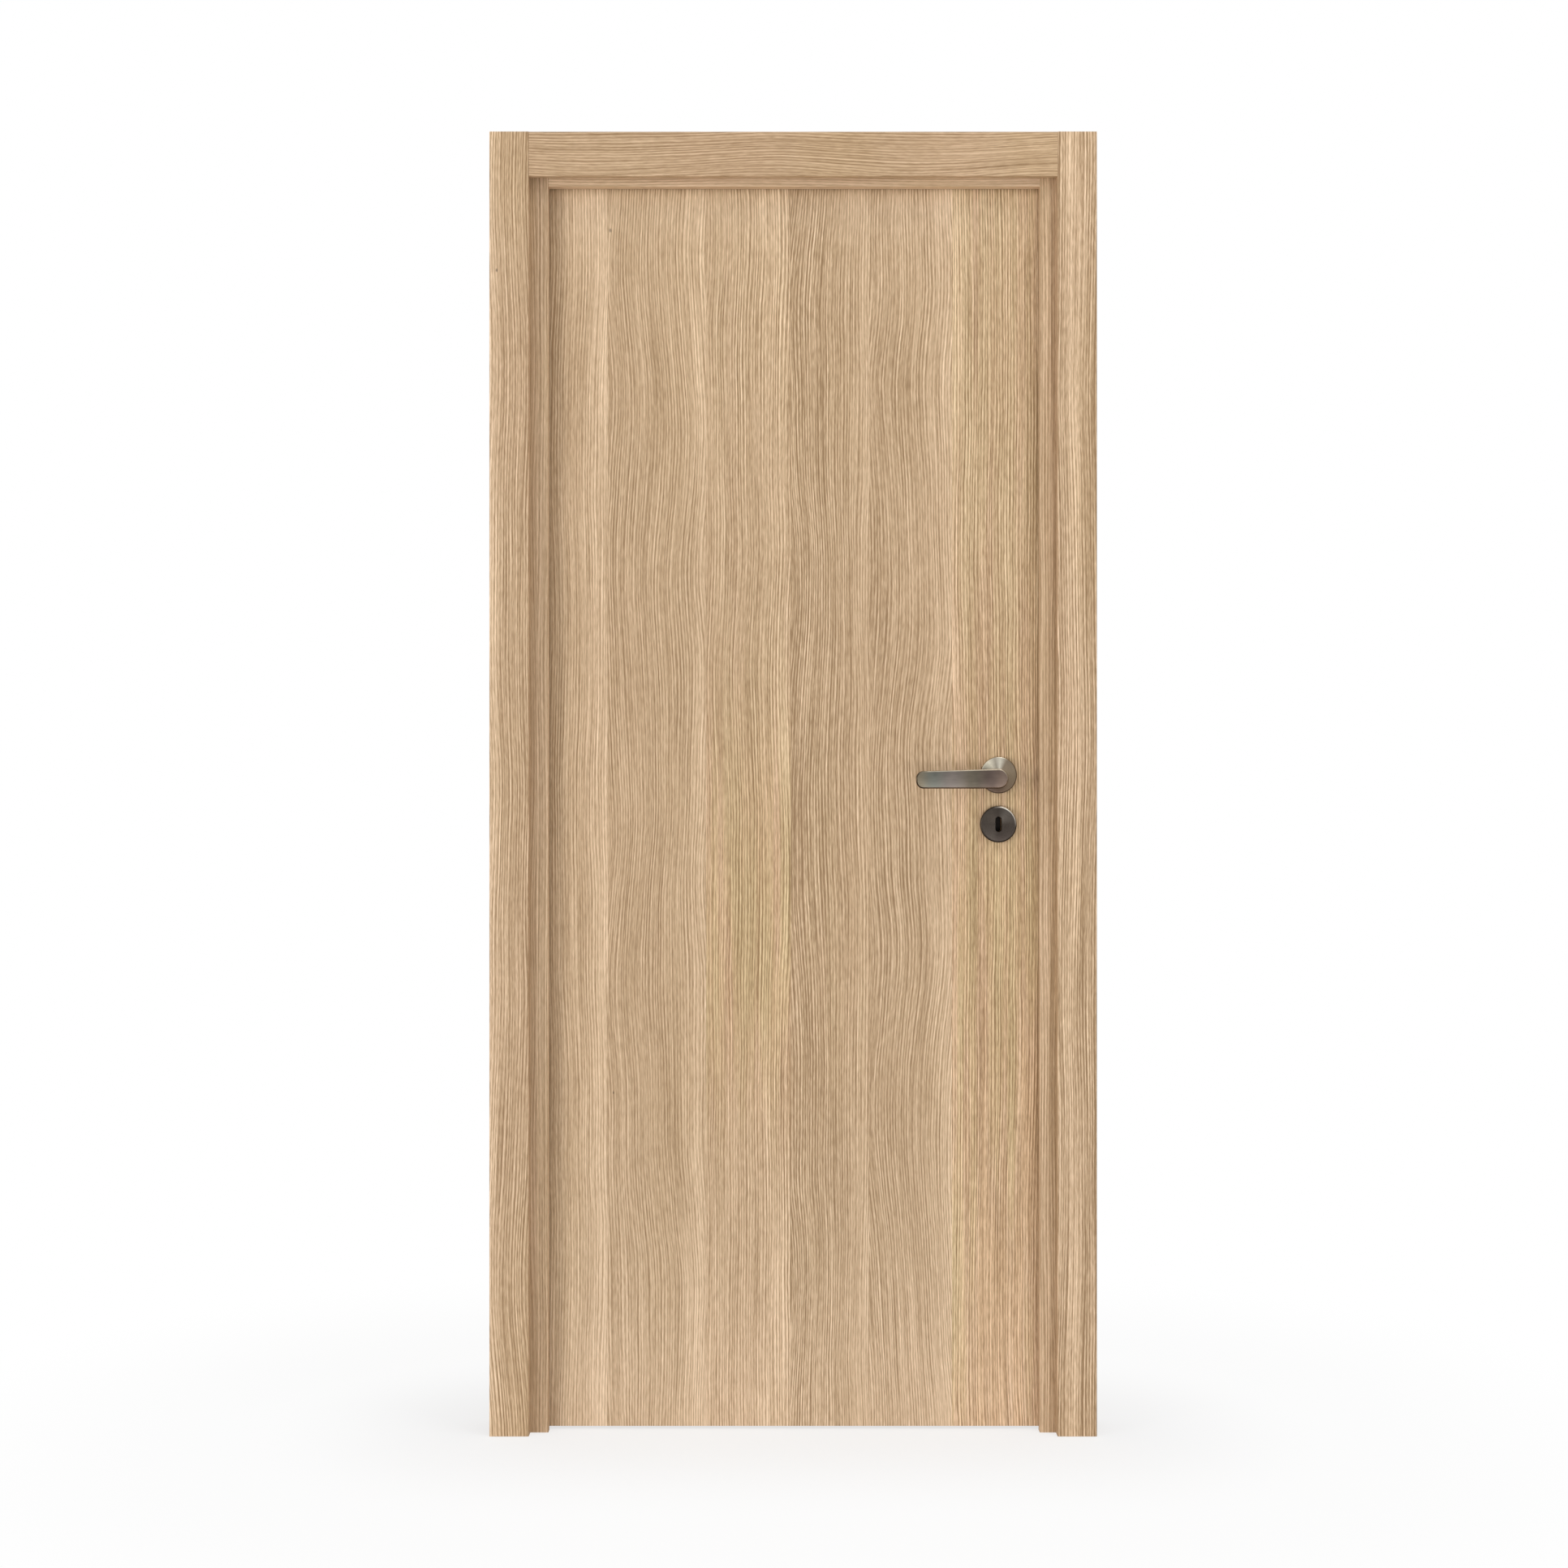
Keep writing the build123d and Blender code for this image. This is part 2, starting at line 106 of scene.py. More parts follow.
class Graph:
    """A material and short calls that add nodes to it."""

    def __init__(self, name):
        self.mat = bpy.data.materials.new(name)
        self.mat.use_nodes = True
        self.tree = self.mat.node_tree
        self.tree.nodes.clear()
        self.out = self.tree.nodes.new("ShaderNodeOutputMaterial")
        self.shader = self.tree.nodes.new("ShaderNodeBsdfPrincipled")
        self.tree.links.new(self.shader.outputs[0], self.out.inputs["Surface"])
        # a CAD node and each piece sit at the origin, so this is the place in the shared frame at rest
        self.here = self.tree.nodes.new("ShaderNodeTexCoord").outputs["Object"]

    def put(self, value, socket):
        if isinstance(value, bpy.types.NodeSocket):
            self.tree.links.new(value, socket)
        else:
            socket.default_value = value

    def set(self, **values):
        for key, value in values.items():
            self.shader.inputs[key.replace("_", " ")].default_value = value

    def math(self, kind, a, b=0.0, c=None):
        n = self.tree.nodes.new("ShaderNodeMath")
        n.operation = kind
        self.put(a, n.inputs[0])
        self.put(b, n.inputs[1])
        if c is not None:
            self.put(c, n.inputs[2])
        return n.outputs[0]

    def plus(self, a, b):
        return self.math("ADD", a, b)

    def times(self, a, b):
        return self.math("MULTIPLY", a, b)

    def around(self, value, gain):
        """A noise value, from its middle of a half, as a change of up to about the gain."""
        return self.math("MULTIPLY_ADD", value, 2 * gain, -gain)

    def distance(self, a, b):
        return self.math("SQRT", self.plus(self.times(a, a), self.times(b, b)))

    def place(self):
        n = self.tree.nodes.new("ShaderNodeSeparateXYZ")
        self.put(self.here, n.inputs[0])
        return n.outputs[0], n.outputs[1], n.outputs[2]

    def join(self, x, y, z):
        n = self.tree.nodes.new("ShaderNodeCombineXYZ")
        for value, socket in zip((x, y, z), n.inputs):
            self.put(value, socket)
        return n.outputs[0]

    def noise(self, vector, detail=2.0, rough=0.5, scale=1.0):
        n = self.tree.nodes.new("ShaderNodeTexNoise")
        self.put(vector, n.inputs["Vector"])
        n.inputs["Scale"].default_value = scale
        n.inputs["Detail"].default_value = detail
        n.inputs["Roughness"].default_value = rough
        return n.outputs[0]

    def cells(self, axes, per_metre, shift=(0.0, 0.0, 0.0), detail=2.0, rough=0.5):
        """Noise with its own number of cells per metre along each axis, and its start shifted by a seed."""
        parts = []
        for axis, fine, start in zip(axes, per_metre, shift):
            parts.append(self.math("MULTIPLY_ADD", axis, fine, start))
        return self.noise(self.join(*parts), detail, rough)

    def ramp(self, value, stops, smooth="LINEAR"):
        n = self.tree.nodes.new("ShaderNodeValToRGB")
        n.color_ramp.interpolation = smooth
        marks = n.color_ramp.elements
        while len(marks) < len(stops):
            marks.new(1.0)
        for mark, (at, colour) in zip(marks, stops):
            mark.position = at
            mark.color = colour if isinstance(colour, tuple) else (colour, colour, colour, 1)
        self.put(value, n.inputs[0])
        return n.outputs[0]

    def spread(self, value, stops, smooth="LINEAR", span=None):
        """A ramp with its stops in the value's own units. span is where the ramp itself starts and ends, which
        is at the first and the last stop if it isn't given."""
        first, last = span or (stops[0][0], stops[-1][0])
        part = self.math("MULTIPLY_ADD", value, 1 / (last - first), -first / (last - first))
        return self.ramp(part, [((at - first) / (last - first), level) for at, level in stops], smooth)

    def tones(self, value, stops, smooth="LINEAR", span=None):
        """A ramp of numbers of up to 2, with its stops in the value's own units. The ramp holds half of each
        number, so that it stays under one."""
        halves = [(at, tone / 2) for at, tone in stops]
        return self.times(self.spread(value, halves, smooth, span), 2.0)

    def mix(self, kind, share, a, b):
        n = self.tree.nodes.new("ShaderNodeMix")
        n.data_type = "RGBA"
        n.blend_type = kind
        self.put(share, n.inputs[0])
        self.put(a, n.inputs[6])
        self.put(b, n.inputs[7])
        return n.outputs[2]

    def tinted(self, colour, tint, share=1.0):
        return self.mix("MULTIPLY", share, colour, tint)

    def scale_colour(self, colour, factor):
        n = self.tree.nodes.new("ShaderNodeVectorMath")
        n.operation = "SCALE"
        self.put(colour, n.inputs[0])
        self.put(factor, n.inputs["Scale"])
        return n.outputs[0]

    def bump(self, height, strength, distance):
        n = self.tree.nodes.new("ShaderNodeBump")
        n.inputs["Strength"].default_value = strength
        n.inputs["Distance"].default_value = distance
        self.put(height, n.inputs["Height"])
        self.put(n.outputs[0], self.shader.inputs["Normal"])

    def finish(self, colour, roughness):
        self.put(colour, self.shader.inputs["Base Color"])
        self.put(roughness, self.shader.inputs["Roughness"])
        return self.mat


# The oak pattern

# The pattern printed on the leaf is six boards side by side. Each has its left edge and the start of its pale
# right margin, from the leaf's left edge. tones are the lightness at those two places and at the right edge,
# strengths how plainly the grain shows at the left and the right edge, bow how far the lines swing, shift
# which stretch of the grain it shows, and leans how far it goes to yellow at the foot, at hip height and at
# the top.
Board = namedtuple("Board", "left margin tones strengths bow shift leans")
BOARDS = (
    Board(0.000, 0.083, (0.930, 1.007, 1.105), (0.86, 0.92), 0.35, 0.10, (0.0, 0.05, 0.0)),
    Board(0.108, 0.227, (0.955, 0.955, 1.049), (0.94, 0.90), 0.85, 0.62, (0.0, 0.05, 0.0)),
    Board(0.268, 0.350, (0.997, 0.972, 1.049), (0.98, 1.18), 0.40, 0.27, (0.1, 1.00, 0.1)),
    Board(0.407, 0.498, (0.903, 0.937, 1.025), (1.40, 0.88), 1.00, 0.85, (0.0, 0.15, 0.0)),
    Board(0.537, 0.629, (0.937, 0.965, 1.063), (1.06, 0.92), 0.90, 0.45, (0.0, 0.05, 0.0)),
    Board(0.673, 0.715, (1.056, 0.976, 0.993), (1.24, 1.22), 0.22, 0.02, (0.9, 1.00, 0.5)),
)
RIGHT_EDGES = [board.left for board in BOARDS[1:]] + [LEAF_RIGHT - LEAF_LEFT]
BOARD_JOINT = 0.001
# The leaf is paler at the foot, in part painted light that makes up for the lamps' fall-off there, and near
# the top. Right under the head stop it is darker, a painted shadow of the stop, and beside the other stops, a
# painted shadow of theirs.
HEIGHT_TONES_AND_PAINTED_SHADE = (
    (0.0444, 1.070), (0.200, 1.028), (0.333, 0.989), (0.511, 0.961), (1.333, 0.950), (1.844, 0.978),
    (1.933, 0.992), (2.0044, 1.070), (2.0244, 1.045), (2.0367, 0.882),
)
# painted shadow of the side stops: the leaf darkens within about 37 mm of its sides
RIM_PAINTED_SHADOW = ((0.0140, 0.905), (0.0231, 0.941), (0.0372, 1.0))
# The heights between which a board's lean goes from the foot's to the hip's, and from that to the top's.
FOOT_TO_HIP = ((0.356, 0.0), (0.756, 1.0))
HIP_TO_TOP = ((0.844, 0.0), (1.378, 1.0))
LEAN_HUES = (
    (0.40, (251, 253, 239)), (0.52, (255, 252, 241)), (0.60, (255, 249, 246)), (0.70, (255, 247, 239)),
)
PINK_BY_HEIGHT = ((0.0, 0.17), (0.55, 0.06), (0.95, 0.0))
FOOT_HUES = ((0.0, (250, 252, 255)), (0.3, (252, 254, 255)), (0.6, (254, 255, 255)))

# How far the grain's lines swing and tremble, how far along them a whole shift goes, and how far apart the
# pressed ones are.
SWING, TREMBLE = 0.046, 0.0011
SHIFT_LENGTH = 9.0
LINE_SPACING = 0.0046
# The share of each layer in the grain, and the gains that turn the grain and a tone into the ramp's value.
LINES_SHARE, SHORT_SHARE, STREAK_GAIN, PRESSED_GAIN = 0.56, 0.44, 0.045, 0.145
GRAIN_GAIN, BROAD_GAIN, TONE_GAIN = 1.55, 0.10, 1.5
OAK_VALUE = 0.45
# The oak's green level at values of the ramp. Red and blue keep their distance from it.
OAK_LEVELS = ((0.02, 118), (0.26, 145), (0.50, 172), (0.74, 197), (0.98, 222))
OAK_RED, OAK_BLUE = 30, -34
OAK_HUE = (200, 172, 138)
DRIFT_HUES = ((0.38, (206, 174, 142)), (0.50, OAK_HUE), (0.64, (203, 174, 131)))
PORE_LIGHT = ((0.0, 0.87), (0.31, 0.915), (0.37, 1.0))

Knot = namedtuple("Knot", "x z width height")
KNOT_LIGHT = ((0.25, 0.42), (0.75, 0.92), (1.0, 1.0))
# A bare face is known by its place, within this much.
FACE_DEPTH = 0.0004
BARE_HUES = ((0.3, (150, 118, 84)), (0.7, (196, 164, 124)))
BARE_ROUGHNESS = 0.85

Grain = namedtuple("Grain", "broad lines mixed pores")


def across_boards(g, x, stops_of, smooth="LINEAR"):
    """A ramp over the leaf's width. stops_of gives a board's (place, number) pairs. All these ramps have one
    span, because the renderer samples a ramp, and so the boards' edges fall on the same samples in each."""
    stops = []
    for board, right in zip(BOARDS, RIGHT_EDGES):
        stops += [(LEAF_LEFT + at, number) for at, number in stops_of(board, right - BOARD_JOINT)]
    return g.tones(x, stops, smooth, span=(LEAF_LEFT, LEAF_RIGHT))


def per_board(g, x, number_of):
    """A number that is the same all over each board."""
    return across_boards(g, x, lambda board, right: [(board.left, number_of(board))], "CONSTANT")


def grain_of(g, x, y, z, along, seed, wave, planks):
    """The layers of the grain, which runs along one axis and goes on through the piece."""
    across, length = (x, z) if along == "z" else (z, x)
    if planks:
        shift = per_board(g, x, lambda board: board.shift)
        length = g.plus(length, g.times(shift, SHIFT_LENGTH))
    # slow sideways pushes bend the lines into long bows, and small ones keep them from running dead straight
    slow = g.cells((across, y, length), (3.0, 3.0, 2.1), (0.0, seed, 0.0), detail=1.0, rough=0.35)
    quick = g.cells((across, y, length), (24.0, 24.0, 11.0), (0.0, seed + 7.3, 0.0), detail=1.0)
    swing = g.around(slow, SWING * wave)
    tremble = g.around(quick, TREMBLE * wave)
    if planks:
        swing = g.times(swing, per_board(g, x, lambda board: board.bow))
    across = g.plus(across, g.plus(swing, tremble))
    deep = g.plus(y, g.times(tremble, 0.5))

    def layer(fine, run, offset, detail=1.0, rough=0.5):
        """Noise with fine cells per metre across the grain and run cells per metre along it."""
        start = (0.0, seed * 3.1 + offset, 0.0)
        return g.cells((across, deep, length), (fine, fine, run), start, detail, rough)

    broad = layer(fine=26.0, run=0.8, offset=1.0, detail=2.0)
    streak = layer(fine=110.0, run=2.4, offset=5.0)
    lines = layer(fine=430.0, run=3.2, offset=11.0)
    short = layer(fine=600.0, run=56.0, offset=14.0, rough=0.7)
    pores = layer(fine=1300.0, run=60.0, offset=23.0, detail=0.0)
    # the pressed lines come nearly evenly, but a slow noise lets their phase go a little
    loose = layer(fine=75.0, run=3.0, offset=31.0, detail=0.0)
    strong = layer(fine=160.0, run=4.5, offset=37.0, rough=0.6)
    even = g.plus(across, g.times(deep, 0.8))
    phase = g.math("MULTIPLY_ADD", even, 2 * math.pi / LINE_SPACING, g.times(loose, 7.0))
    pressed = g.times(g.math("SINE", phase), g.math("MULTIPLY_ADD", strong, 2.2, -0.35))
    mixed = g.plus(g.times(lines, LINES_SHARE), g.times(short, SHORT_SHARE))
    mixed = g.plus(mixed, g.plus(g.around(streak, STREAK_GAIN), g.times(pressed, PRESSED_GAIN)))
    return Grain(broad, lines, mixed, pores)


def leaf_tones(g, x, z):
    """The leaf's lightness by board, by height with a painted shadow under the head stop, and by the way in
    from its edges, a painted shadow of the side stops.
    """
    boards = across_boards(g, x, lambda board, right: zip((board.left, board.margin, right), board.tones))
    off_middle = g.math("ABSOLUTE", g.plus(x, -(LEAF_LEFT + LEAF_RIGHT) / 2))
    inward = g.math("SUBTRACT", (LEAF_RIGHT - LEAF_LEFT) / 2, off_middle)
    return [boards, g.tones(z, HEIGHT_TONES_AND_PAINTED_SHADE), g.tones(inward, RIM_PAINTED_SHADOW)]


def leaf_hues(g, colour, x, y, z, seed):
    """Some of the boards lean to yellow, and narrow bands of that go to olive or, lower down, to pink."""
    foot, hip, top = (per_board(g, x, lambda board: board.leans[k]) for k in range(3))
    lean = g.mix("MIX", g.spread(z, FOOT_TO_HIP, "EASE"), foot, hip)
    lean = g.mix("MIX", g.spread(z, HIP_TO_TOP, "EASE"), lean, top)
    bands = g.cells((x, y, z), (48.0, 48.0, 1.7), (0.0, 0.0, seed + 3.0), detail=1.0)
    hue = g.ramp(g.plus(bands, g.spread(z, PINK_BY_HEIGHT)), shades(LEAN_HUES))
    return g.tinted(g.tinted(colour, hue, lean), g.spread(z, shades(FOOT_HUES)))


def pin_knots(g, light, x, z, lines, knots):
    """Small dark knots with a rough edge."""
    for knot in knots:
        off_x = g.times(g.plus(x, -knot.x), 1 / knot.width)
        off_z = g.times(g.plus(z, -knot.z), 1 / knot.height)
        edge = g.plus(g.distance(off_x, off_z), g.around(lines, 0.5))
        light = g.times(light, g.ramp(edge, KNOT_LIGHT))
    return light


def bare_board(g, colour, rough, bare):
    """Raw board on the faces that stand at the given (axis, place)."""
    here = g.place()
    mask = 0.0
    for axis, level in bare:
        mask = g.math("MAXIMUM", mask, g.math("COMPARE", here[axis], level, FACE_DEPTH))
    board = g.ramp(g.noise(g.here, detail=3.0, rough=0.6, scale=420.0), shades(BARE_HUES))
    return g.mix("MIX", mask, colour, board), g.math("MAXIMUM", rough, g.times(mask, BARE_ROUGHNESS))


def oak(name, along="z", seed=0.0, tone=1.0, contrast=1.0, wave=1.0, drift=0.22, planks=False,
        bare=(), knots=(), strips=()):
    """Light oak laminate with the grain printed and lightly embossed. tone is its lightness, contrast how
    plainly the grain shows, wave how far the lines swing and drift how far the hue changes. planks gives it
    the leaf's boards, bare lists (axis, place) of raw faces, knots its pin knots, and strips (x, tone) of
    paler and darker strips along it."""
    g = Graph(name)
    x, y, z = g.place()
    grain = grain_of(g, x, y, z, along, seed, wave, planks)
    value = g.times(g.plus(grain.mixed, -0.5), GRAIN_GAIN * contrast)
    tones = []
    if strips:
        tones.append(g.tones(x, strips))
    if planks:
        strengths = across_boards(g, x, lambda board, right: zip((board.left, right), board.strengths))
        value = g.times(value, strengths)
        tones += leaf_tones(g, x, z)
    level = OAK_VALUE + TONE_GAIN * (tone - 1)
    value = g.plus(value, g.math("MULTIPLY_ADD", grain.broad, BROAD_GAIN, level))
    for change in tones:
        value = g.plus(value, g.math("MULTIPLY_ADD", change, TONE_GAIN, -TONE_GAIN))
    oak_hues = [(at, (green + OAK_RED, green, green + OAK_BLUE)) for at, green in OAK_LEVELS]
    colour = g.ramp(value, shades(oak_hues))
    warm = g.ramp(g.cells((x, y, z), (5.0, 5.0, 1.3), (0.0, 0.0, seed)), shades(DRIFT_HUES))
    colour = g.tinted(colour, g.mix("DIVIDE", 1.0, warm, linear(*OAK_HUE)), drift)
    if planks:
        colour = leaf_hues(g, colour, x, y, z, seed)
    light = pin_knots(g, g.ramp(grain.pores, PORE_LIGHT), x, z, grain.lines, knots)
    colour = g.scale_colour(colour, light)
    rough = g.math("MULTIPLY_ADD", grain.lines, -0.16, 0.60)
    if bare:
        colour, rough = bare_board(g, colour, rough, bare)
    height = g.plus(g.times(grain.mixed, 0.8), g.times(grain.pores, 0.35))
    g.bump(height, strength=0.35, distance=0.0006)
    g.set(Specular_IOR_Level=0.35)
    return g.finish(colour, rough)


# Sawn timber and seal

TIMBER_HUES = ((0.32, (176, 138, 94)), (0.55, (206, 172, 128)), (0.72, (222, 192, 150)))
SEAL_HUES = ((0.3, (112, 86, 62)), (0.7, (140, 111, 82)))


def sawn_timber(name):
    """Sawn softwood for the leaf's rails, stiles and core."""
    g = Graph(name)
    grain = g.cells(g.place(), (160.0, 160.0, 6.0), detail=3.0, rough=0.55)
    fuzz = g.noise(g.here, detail=3.0, rough=0.6, scale=600.0)
    colour = g.scale_colour(g.ramp(grain, shades(TIMBER_HUES)), g.plus(g.around(fuzz, 0.10), 1.0))
    g.bump(g.plus(grain, g.times(fuzz, 0.5)), strength=0.4, distance=0.0005)
    return g.finish(colour, g.math("MULTIPLY_ADD", fuzz, 0.2, 0.68))


def seal_rubber(name):
    """Brown door seal: soft, a little dusty and faintly rough."""
    g = Graph(name)
    dust = g.noise(g.here, detail=3.0, rough=0.6, scale=90.0)
    g.bump(g.noise(g.here, scale=900.0), strength=0.2, distance=0.0002)
    g.set(Specular_IOR_Level=0.3)
    return g.finish(g.ramp(dust, shades(SEAL_HUES)), g.math("MULTIPLY_ADD", dust, 0.18, 0.50))


# Metals

# The lever's slow change of tint, from its tip to its butt, is a painted reflection. Its rounded edge has its
# own: a painted dark outline at the tip and a painted reflection along the rest. The edge also darkens
# downwards from the spindle's height and is pale above it, painted shade and a painted highlight.
LEVER_PAINTED_REFLECTION = (
    (0.0, (250, 240, 222)), (0.028, (213, 223, 226)), (0.056, (235, 228, 235)), (0.091, (202, 196, 188)),
    (0.121, (197, 179, 180)), (0.1445, (244, 220, 215)),
)
EDGE_PAINTED_TINTS = (
    (0.0, (140, 134, 126)), (0.008, (190, 185, 176)), (0.023, (255, 253, 250)), (0.149, (255, 248, 242)),
)
EDGE_PAINTED_LIGHT_BY_HEIGHT = (
    (-0.022, (120, 100, 88)), (-0.012, (168, 150, 138)), (0.0, (215, 208, 200)), (0.006, (255, 252, 246)),
)
# A fan lists (degrees, colour) round a turned piece's axis: painted reflections of the turned work as bright
# sectors, and painted shade. The lever's rose has two painted highlights, at 84 and 128 degrees, and the rest
# darkens to the foot, painted shade under the lever. The key rose's rim has a painted highlight at the top
# right.
ROSE_PAINTED_FAN = (
    (-180, (97, 83, 77)), (-90, (80, 65, 54)), (0, (104, 91, 74)), (60, (127, 114, 97)),
    (84, (200, 194, 178)), (104, (156, 148, 134)), (128, (214, 206, 186)), (150, (180, 174, 156)),
    (168, (111, 102, 92)), (180, (97, 83, 77)),
)
KEY_ROSE_PAINTED_FAN = (
    (-180, (60, 54, 49)), (-120, (67, 61, 56)), (-90, (61, 54, 50)), (0, (58, 52, 47)), (60, (86, 80, 74)),
    (90, (65, 58, 53)), (120, (71, 64, 58)), (180, (60, 54, 49)),
)
KEY_RIM_PAINTED_FAN = (
    (-180, (58, 52, 47)), (-90, (54, 48, 44)), (-10, (66, 60, 54)), (22, (170, 162, 151)),
    (60, (214, 207, 195)), (84, (160, 152, 141)), (108, (78, 71, 65)), (180, (58, 52, 47)),
)
BRUSH_CONTRAST, BRUSH_DEPTH = 0.30, 0.00004


def satin(g, lines, colour, roughness, anisotropy):
    """The brushing's relief and gloss, for either kind of metal."""
    g.bump(lines, strength=0.25, distance=BRUSH_DEPTH)
    g.set(Metallic=1.0, Anisotropic=anisotropy)
    return g.finish(colour, g.plus(g.around(lines, 0.07), roughness))


def brushed(name, dark, pale, fine, roughness, anisotropy=0.0, painted_tints=(), painted_heights=()):
    """Satin metal with fine brush lines per metre along x, y, z. Its tints list (way from the lever's tip,
    colour) of a slow change of tone, which is painted reflection and shade, and its heights (height over the
    spindle, colour) of a painted highlight above and painted shade below."""
    g = Graph(name)
    x, y, z = g.place()
    lines = g.cells((x, y, z), fine)
    patch = g.noise(g.here, scale=38.0)
    value = g.plus(g.around(lines, BRUSH_CONTRAST), patch)
    colour = g.ramp(value, shades(((0.25, dark), (0.75, pale))))
    # the tints and heights are painted reflection, highlight and shade
    for place, start, marks in ((x, BLADE_LEFT, painted_tints), (z, SPINDLE_Z, painted_heights)):
        if marks:
            tint = g.spread(place, shades((start + at, tint) for at, tint in marks), "EASE")
            colour = g.tinted(colour, tint)
    return satin(g, lines, colour, roughness, anisotropy)


def turned(name, axis_z, painted_fan, roughness, anisotropy):
    """Satin metal turned about an axis along Y, at the spindle's x and a height, with a fan of painted
    highlights and shade round the axis.
    """
    g = Graph(name)
    x, y, z = g.place()
    off_x, off_z = g.plus(x, -SPINDLE_X), g.plus(z, -axis_z)
    angle = g.math("ARCTAN2", off_z, off_x)
    lines = g.cells((g.distance(off_x, off_z), y, angle), (2600.0, 1200.0, 1.6))
    patch = g.cells((off_x, y, off_z), (60.0, 60.0, 60.0))
    value = g.plus(g.around(lines, BRUSH_CONTRAST), patch)
    # the fan's colours by angle are painted reflection and shade
    colour = g.spread(angle, shades((math.radians(degrees), tone) for degrees, tone in painted_fan))
    colour = g.scale_colour(colour, g.plus(g.around(value, 0.14), 1.0))
    # the brushing runs round the axis
    round_axis = g.tree.nodes.new("ShaderNodeVectorTransform")
    round_axis.convert_from, round_axis.convert_to = "OBJECT", "WORLD"
    g.put(g.join(g.times(off_z, -1.0), 0.0, off_x), round_axis.inputs[0])
    g.put(round_axis.outputs[0], g.shader.inputs["Tangent"])
    return satin(g, lines, colour, roughness, anisotropy)


satin_lever = brushed("satin_lever", (106, 102, 94), (128, 123, 113), (60.0, 1600.0, 1600.0), 0.34, 0.3,
                      painted_tints=LEVER_PAINTED_REFLECTION)
# the edge's paler colours are a painted highlight along the lever's rounded rim
painted_lever_edge = brushed("lever_edge_painted_sheen", (150, 144, 133), (176, 170, 158), (90.0, 900.0, 900.0), 0.24,
                     painted_tints=EDGE_PAINTED_TINTS, painted_heights=EDGE_PAINTED_LIGHT_BY_HEIGHT)
turned_rose = turned("turned_rose", SPINDLE_Z, ROSE_PAINTED_FAN, 0.30, 0.7)
turned_key_rose = turned("turned_key_rose", KEY_Z, KEY_ROSE_PAINTED_FAN, 0.28, 0.6)
key_rose_rim = turned("turned_key_rose_rim", KEY_Z, KEY_RIM_PAINTED_FAN, 0.30, 0.6)
satin_hinge = brushed("satin_hinge", (140, 136, 129), (172, 168, 160), (900.0, 900.0, 60.0), 0.34)
brushed_lock = brushed("brushed_lock", (138, 135, 130), (176, 173, 167), (900.0, 900.0, 50.0), 0.32)
black_case = brushed("blackened_case", (26, 24, 23), (40, 37, 35), (700.0, 700.0, 60.0), 0.5)
screw_steel = brushed("screw_steel", (150, 147, 140), (184, 181, 174), (700.0, 700.0, 700.0), 0.30)


# Materials on the CAD nodes

LEAF_KNOTS = (Knot(LEAF_LEFT + 0.1135, 1.967, 0.0034, 0.0052), Knot(LEAF_LEFT + 0.1185, 0.552, 0.0022, 0.004))
CASING_KNOTS = (Knot(LEFT_CASING + 0.012, 1.892, 0.003, 0.0045),)
# Paler and darker strips along the side casings, from each one's left edge.
LEFT_STRIPS = ((0.0, 1.03), (0.0085, 1.03), (0.0175, 0.92), (0.0445, 0.915), (0.064, 0.89))
RIGHT_STRIPS = ((0.0, 0.955), (0.0125, 0.955), (0.0195, 1.0), (0.035, 1.0), (0.0395, 0.88), (0.064, 0.885))
# The casings' backs, the boards' feet and the lining's faces to the wall are raw.
CASING_BACKS = ((Y, JAMB_FRONT), (Y, JAMB_BACK))
FOOT = ((Z, cad_low[Z]),)
LEFT_WALL, RIGHT_WALL = ((X, lowest("hinge_jamb", X)),), ((X, highest("lock_jamb", X)),)
HEAD_WALL = ((Z, highest("head_jamb", Z)),)

front_oak = oak("oak_leaf_front", seed=3.0, planks=True, drift=0.1, knots=LEAF_KNOTS)
back_oak = oak("oak_leaf_back", seed=9.0, planks=True, wave=1.1)
edge_oak = oak("oak_leaf_edges", seed=5.0, wave=0.3)
casing_left_oak = oak("oak_casing_left", seed=12.0, contrast=1.08, wave=0.6, bare=CASING_BACKS + FOOT,
                      knots=CASING_KNOTS, strips=[(LEFT_CASING + at, tone) for at, tone in LEFT_STRIPS])
casing_right_oak = oak("oak_casing_right", seed=15.4, contrast=1.2, wave=0.4, bare=CASING_BACKS + FOOT,
                       strips=[(RIGHT_CASING + at, tone) for at, tone in RIGHT_STRIPS])
casing_head_oak = oak("oak_casing_head", along="x", seed=18.2, tone=0.895, contrast=0.72, wave=0.8,
                      bare=CASING_BACKS)
# the side jambs' lower tones are painted shade for their strips in the recess beside the casings; they darken
# the whole jamb
jamb_left_painted_shade_oak = oak("oak_jamb_left_painted_shade", seed=21.0, tone=0.895, contrast=0.6, wave=0.3, bare=LEFT_WALL + FOOT)
jamb_right_painted_shade_oak = oak("oak_jamb_right_painted_shade", seed=24.5, tone=0.855, contrast=0.8, wave=0.3, bare=RIGHT_WALL + FOOT)
jamb_head_oak = oak("oak_jamb_head", along="x", seed=27.5, tone=0.98, contrast=0.72, wave=0.3, bare=HEAD_WALL)
stop_left_oak = oak("oak_stop_left", seed=31.0, tone=0.955, contrast=0.8, wave=0.2)
stop_right_oak = oak("oak_stop_right", seed=34.5, tone=0.97, contrast=0.8, wave=0.2)
stop_head_oak = oak("oak_stop_head", along="x", seed=37.5, tone=1.02, contrast=0.68, wave=0.2)
timber = sawn_timber("sawn_timber")
rubber = seal_rubber("seal_brown")

